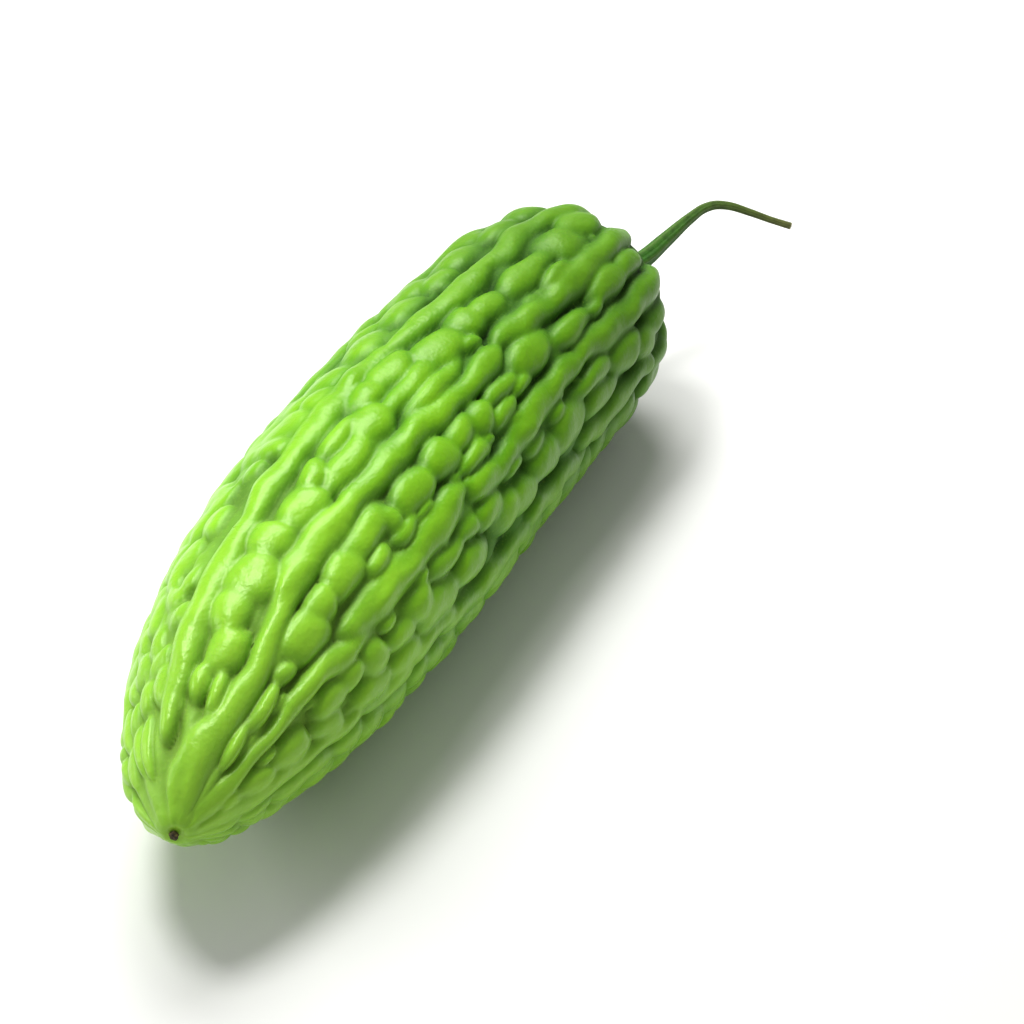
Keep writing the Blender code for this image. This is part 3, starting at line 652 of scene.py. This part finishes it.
roughness = add_node(tree, "ShaderNodeMath", {0: waxed, 1: dull}, operation="ADD").outputs[0]
tree.links.new(roughness, shader.inputs["Roughness"])
shader.inputs["Specular IOR Level"].default_value = 0.55
shader.inputs["Specular Tint"].default_value = linear("e6f6c8")
shader.inputs["IOR"].default_value = 1.42
shader.inputs["Subsurface Weight"].default_value = 0.3
shader.inputs["Subsurface Radius"].default_value = (0.8, 1.3, 0.15)
shader.inputs["Subsurface Scale"].default_value = 2 * MM
pores = add_node(tree, "ShaderNodeTexNoise",
                 {"Vector": in_mm, "Scale": PORES_PER_MM, "Detail": 4.0}).outputs["Fac"]
dents = add_node(tree, "ShaderNodeTexNoise",
                 {"Vector": in_mm, "Scale": DENTS_PER_MM, "Detail": 2.0}).outputs["Fac"]
pitted = add_node(tree, "ShaderNodeBump",
                  {"Strength": 0.5, "Distance": 0.2 * MM, "Height": pores}).outputs[0]
dented = add_node(tree, "ShaderNodeBump", {"Strength": 0.5, "Distance": 0.8 * MM,
                                           "Height": dents, "Normal": pitted}).outputs[0]
tree.links.new(dented, shader.inputs["Normal"])
fruit_mesh.materials.append(skin)
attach(fruit, "root")
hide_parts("fruit")


# Stalk: the fresh fibrous stalk that the fruit hung from, with five ribs. It widens to a
# foot grown onto the floor of the hollow, bends over near its end and is cut off there.

# The stalk as (along the axis, sideways, up) from its foot, with radii
STALK_COURSE = [
    ((0.0, 0.0, 0.0), 4.2), ((2.4, 0.0, 0.0), 3.8), ((8.0, -2.0, 0.9), 3.3),
    ((17.0, -6.2, 3.4), 2.9), ((27.0, -7.6, 5.6), 2.4), ((38.0, -9.6, 8.7), 1.75),
    ((43.5, -10.8, 9.7), 1.5), ((47.0, -12.6, 9.9), 1.4), ((50.0, -15.4, 9.3), 1.3),
    ((54.0, -21.1, 7.1), 1.15), ((57.5, -26.2, 4.8), 1.05), ((61.0, -31.3, 2.8), 1.1),
]
# How far the foot stands off the floor of the hollow
GAP = 0.3
# Ribs cut into the radius by a share of it and twist slowly, by radians to a millimetre.
# Finer ones run between them
STALK_RIBS = 5
RIB_DEPTH = 0.14
RIB_TWIST = 0.02
FINE_RIBS = 15
FINE_RIB_DEPTH = 0.03
STALK_MERIDIANS = 60
STALK_RINGS = 190
# The rings of the ball that close each end with a flat face
END_RINGS = 6
# The direction of the stalk is read this far ahead and behind
LOOK = 0.2


def axis_frame(along):
    """Centre, forward, side and top directions of the fruit's bent axis at one place."""
    centre, side_point, top_point = (bend(np.array([along]), np.array([radius]), np.array([degrees]))[0]
                                     for radius, degrees in ((0.0, 0.0), (1.0, 0.0), (1.0, 90.0)))
    side = side_point - centre
    top = top_point - centre
    return centre, np.cross(side, top), side, top


centre, forward, side, top = axis_frame(CORE_PROFILE[0][0] - GAP)
course = np.array([centre + ahead * forward + aside * side + up * top
                   for (ahead, aside, up), _ in STALK_COURSE])
radii = np.array([size for _, size in STALK_COURSE])
chord = np.concatenate([[0], np.cumsum(np.linalg.norm(np.diff(course, axis=0), axis=1))])


def stalk_points(reach):
    """Points on the middle line of the stalk, so far from its foot."""
    return np.stack([smooth_curve(chord, course[:, axis], reach) for axis in range(3)], axis=1)


stalk_mesh, ball_places = ball_mesh("stalk", STALK_MERIDIANS, STALK_RINGS)
share, turn = pole_angles(ball_places)
foot_share = END_RINGS / STALK_RINGS
cut_share = 1 - foot_share
reach = chord[-1] * np.clip((share - foot_share) / (cut_share - foot_share), 0, 1)
size = smooth_curve(chord, radii, reach)
size = size * np.clip(share / foot_share, 0, 1) * np.clip((1 - share) / foot_share, 0, 1)
ribs = 1 - RIB_DEPTH * (0.5 - 0.5 * np.cos(STALK_RIBS * turn + RIB_TWIST * reach))
ribs = ribs - FINE_RIB_DEPTH * (0.5 - 0.5 * np.cos(FINE_RIBS * turn))
ahead = stalk_points(np.minimum(reach + LOOK, chord[-1])) - stalk_points(np.maximum(reach - LOOK, 0.0))
ahead /= np.linalg.norm(ahead, axis=1, keepdims=True)
over = np.cross(np.cross(ahead, (0.0, 0.0, 1.0)), ahead)
over /= np.linalg.norm(over, axis=1, keepdims=True)
across = np.cross(ahead, over)
outward = np.cos(turn)[:, None] * over + np.sin(turn)[:, None] * across
place = (stalk_points(reach) + (size * ribs)[:, None] * outward) * MM
# The finer mesh swells past the CAD stalk by a hair, so it is held inside its box
low, high = (np.array(corner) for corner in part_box("stem"))
stalk = smooth_piece("stalk", stalk_mesh, np.clip(place, low, high))
keep_value(stalk_mesh, "along", reach / chord[-1])
keep_value(stalk_mesh, "cut", share > cut_share)
keep_value(stalk_mesh, "rib", 0.5 + 0.5 * np.cos(STALK_RIBS * turn))

# Fibrous stalk skin, fresh and matt: green at the foot, dark along the stalk and olive
# towards the cut, with paler ribs. The cut face shows pale, moist tissue. Patches 2 mm
# across dull the green, and fibres of half a millimetre roughen it
PATCHES_PER_MM = 0.5
FIBRES_PER_MM = 2.2
bark, tree, shader, in_mm = new_material("fibrous_stalk_skin")
along_stalk = add_node(tree, "ShaderNodeAttribute", {}, attribute_name="along").outputs["Fac"]
cut = add_node(tree, "ShaderNodeAttribute", {}, attribute_name="cut").outputs["Fac"]
rib = add_node(tree, "ShaderNodeAttribute", {}, attribute_name="rib").outputs["Fac"]
length_green = add_node(tree, "ShaderNodeValToRGB", {"Fac": along_stalk},
                        stops=[(0.0, "447c08"), (0.15, "2a6404"), (0.5, "325e08"),
                               (0.75, "445a18"), (1.0, "585c2a")])
patch = add_node(tree, "ShaderNodeTexNoise",
                 {"Vector": in_mm, "Scale": PATCHES_PER_MM, "Detail": 3.0}).outputs["Fac"]
patch_tint = add_node(tree, "ShaderNodeValToRGB", {"Fac": patch},
                      stops=[(0.3, "8a8a5a"), (0.6, "ffffff")])
patched = add_node(tree, "ShaderNodeMix",
                   {0: 0.5, 6: length_green.outputs["Color"], 7: patch_tint.outputs["Color"]},
                   data_type="RGBA", blend_type="MULTIPLY").outputs[2]
rib_share = add_node(tree, "ShaderNodeMapRange", {"Value": rib, "From Min": 0.6, "From Max": 1.0,
                                                  "To Min": 0.0, "To Max": 0.12}).outputs[0]
ribbed = add_node(tree, "ShaderNodeMix", {0: rib_share, 6: patched, 7: linear("a5c06a")},
                  data_type="RGBA").outputs[2]
ended = add_node(tree, "ShaderNodeMix", {0: cut, 6: ribbed, 7: linear("cfc9a4")},
                 data_type="RGBA").outputs[2]
tree.links.new(ended, shader.inputs["Base Color"])
shader.inputs["Roughness"].default_value = 0.65
shader.inputs["Specular IOR Level"].default_value = 0.3
fibre = add_node(tree, "ShaderNodeTexNoise",
                 {"Vector": in_mm, "Scale": FIBRES_PER_MM, "Detail": 4.0}).outputs["Fac"]
fibrous = add_node(tree, "ShaderNodeBump",
                   {"Strength": 0.6, "Distance": 0.3 * MM, "Height": fibre}).outputs[0]
tree.links.new(fibrous, shader.inputs["Normal"])
stalk_mesh.materials.append(bark)
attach(stalk, "root")
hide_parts("stem")


# Flower remnant: the dry, brown, crumpled base of the flower, which withered where it had
# grown onto the tip. It is a low drum with five lobes, flat ends and creases.

# The drum is shaped on a ball of radius 1: its lobes, the power that flattens its ends, how
# far their middles sink, and the creases of sides and ends, by count and depth
LOBES = 5
LOBE_DEPTH = 0.10
DRUM_SQUARENESS = 0.6
END_SINK = 0.25
SIDE_CREASES = (3.1, 0.05)
END_CREASES = (4.0, 0.10)
REMNANT_MERIDIANS = 72
REMNANT_RINGS = 36


def creases(point, settings):
    """Uneven dents and bulges, so many to the radius and so deep."""
    count, size = settings
    return size * noise.noise(point * count)


remnant_mesh, ball_places = ball_mesh("flower_remnant", REMNANT_MERIDIANS, REMNANT_RINGS)
for index, ball_place in enumerate(ball_places):
    point = Vector(ball_place)
    lobes = 1 + LOBE_DEPTH * math.cos(LOBES * math.atan2(point.y, point.z)) + creases(point, SIDE_CREASES)
    flat = math.copysign(abs(point.x) ** DRUM_SQUARENESS, point.x)
    rim = math.hypot(point.y, point.z)
    point.y *= lobes
    point.z *= lobes
    point.x = flat * (1 - END_SINK * (1 - rim)) + creases(point, END_CREASES)
    ball_places[index] = point
remnant = smooth_piece("flower_remnant", remnant_mesh, fit_to_box(ball_places, "blossom_scar"))

# Dry flower tissue, withered to a matt brown, with painted shade that darkens its folds. The
# folds lie about 0.7 mm apart
FOLDS_PER_MM = 1.4
dry, tree, shader, in_mm = new_material("dry_flower_tissue")
folds = add_node(tree, "ShaderNodeTexNoise",
                 {"Vector": in_mm, "Scale": FOLDS_PER_MM, "Detail": 4.0}).outputs["Fac"]
# The dark end of this ramp, where the folds sink, is painted shade
brown = add_node(tree, "ShaderNodeValToRGB", {"Fac": folds},
                 stops=[(0.35, "1e1607"), (0.5, "3a2f10"), (0.65, "5c5423")])
tree.links.new(brown.outputs["Color"], shader.inputs["Base Color"])
shader.inputs["Roughness"].default_value = 0.85
folded = add_node(tree, "ShaderNodeBump",
                  {"Strength": 0.8, "Distance": 0.3 * MM, "Height": folds}).outputs[0]
tree.links.new(folded, shader.inputs["Normal"])
remnant_mesh.materials.append(dry)
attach(remnant, "root")
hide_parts("blossom_scar")


# Floor: the plain pale surface that the gourd lies on, a sheet of smooth matt paper so wide
# that its edges stay out of the picture.
FLOOR_WIDTH = 8.0
bpy.ops.mesh.primitive_plane_add(size=FLOOR_WIDTH)
floor = bpy.context.object
floor.name = "floor"
paper = bpy.data.materials.new("matt_pale_paper")
paper.use_nodes = True
shader = paper.node_tree.nodes["Principled BSDF"]
shader.inputs["Base Color"].default_value = linear("e6e6e3")
shader.inputs["Roughness"].default_value = 0.9
floor.data.materials.append(paper)


# Light: a large soft lamp high behind the stalk end, a smaller one over the tip, a weak one
# on the camera's left, and an even pale surround. Each lamp is a disc that faces the gourd:
# its place from the gourd's middle and its width in metres, and its power in watts
LAMPS = [
    ("top_back", (0.30, 0.20, 0.54), 0.45, 4.3),
    ("over_tip", (-0.02, 0.20, 0.62), 0.2, 2.7),
    ("left", (-0.26, 0.60, 0.28), 0.35, 1.5),
]
SURROUND = 0.34
middle = Vector((CENTRE_X, CENTRE_Y, AXIS_HEIGHT)) * MM
for name, offset, width, power in LAMPS:
    lamp_data = bpy.data.lights.new(name, "AREA")
    lamp_data.shape = "DISK"
    lamp_data.size = width
    lamp_data.energy = power
    lamp = bpy.data.objects.new(name, lamp_data)
    bpy.context.collection.objects.link(lamp)
    lamp.location = middle + Vector(offset)
    lamp.rotation_euler = (middle - lamp.location).to_track_quat("-Z", "Y").to_euler()
world = bpy.data.worlds.new("surround")
bpy.context.scene.world = world
world.use_nodes = True
backdrop = world.node_tree.nodes["Background"]
backdrop.inputs["Color"].default_value = (1.0, 1.0, 1.0, 1.0)
backdrop.inputs["Strength"].default_value = SURROUND
bpy.context.scene.view_settings.view_transform = "Standard"


# Camera: at the photograph's angle, aimed so that the gourd lands where it is there. The
# distance and the two shifts of the aim are in metres
AZIMUTH = math.radians(-61.2)
ELEVATION = math.radians(37.7)
DISTANCE = 0.65
LENS = 90.5
AIM_RIGHT = 0.0334
AIM_DOWN = 0.0028
back = Vector((math.sin(AZIMUTH) * math.cos(ELEVATION), -math.cos(AZIMUTH) * math.cos(ELEVATION),
               math.sin(ELEVATION)))
right = Vector((math.cos(AZIMUTH), math.sin(AZIMUTH), 0.0))
camera_data = bpy.data.cameras.new("camera")
camera_data.lens = LENS
camera = bpy.data.objects.new("camera", camera_data)
bpy.context.collection.objects.link(camera)
camera.location = middle + DISTANCE * back
aim = middle + AIM_RIGHT * right - AIM_DOWN * back.cross(right)
camera.rotation_euler = (aim - camera.location).to_track_quat("-Z", "Y").to_euler()
bpy.context.scene.camera = camera
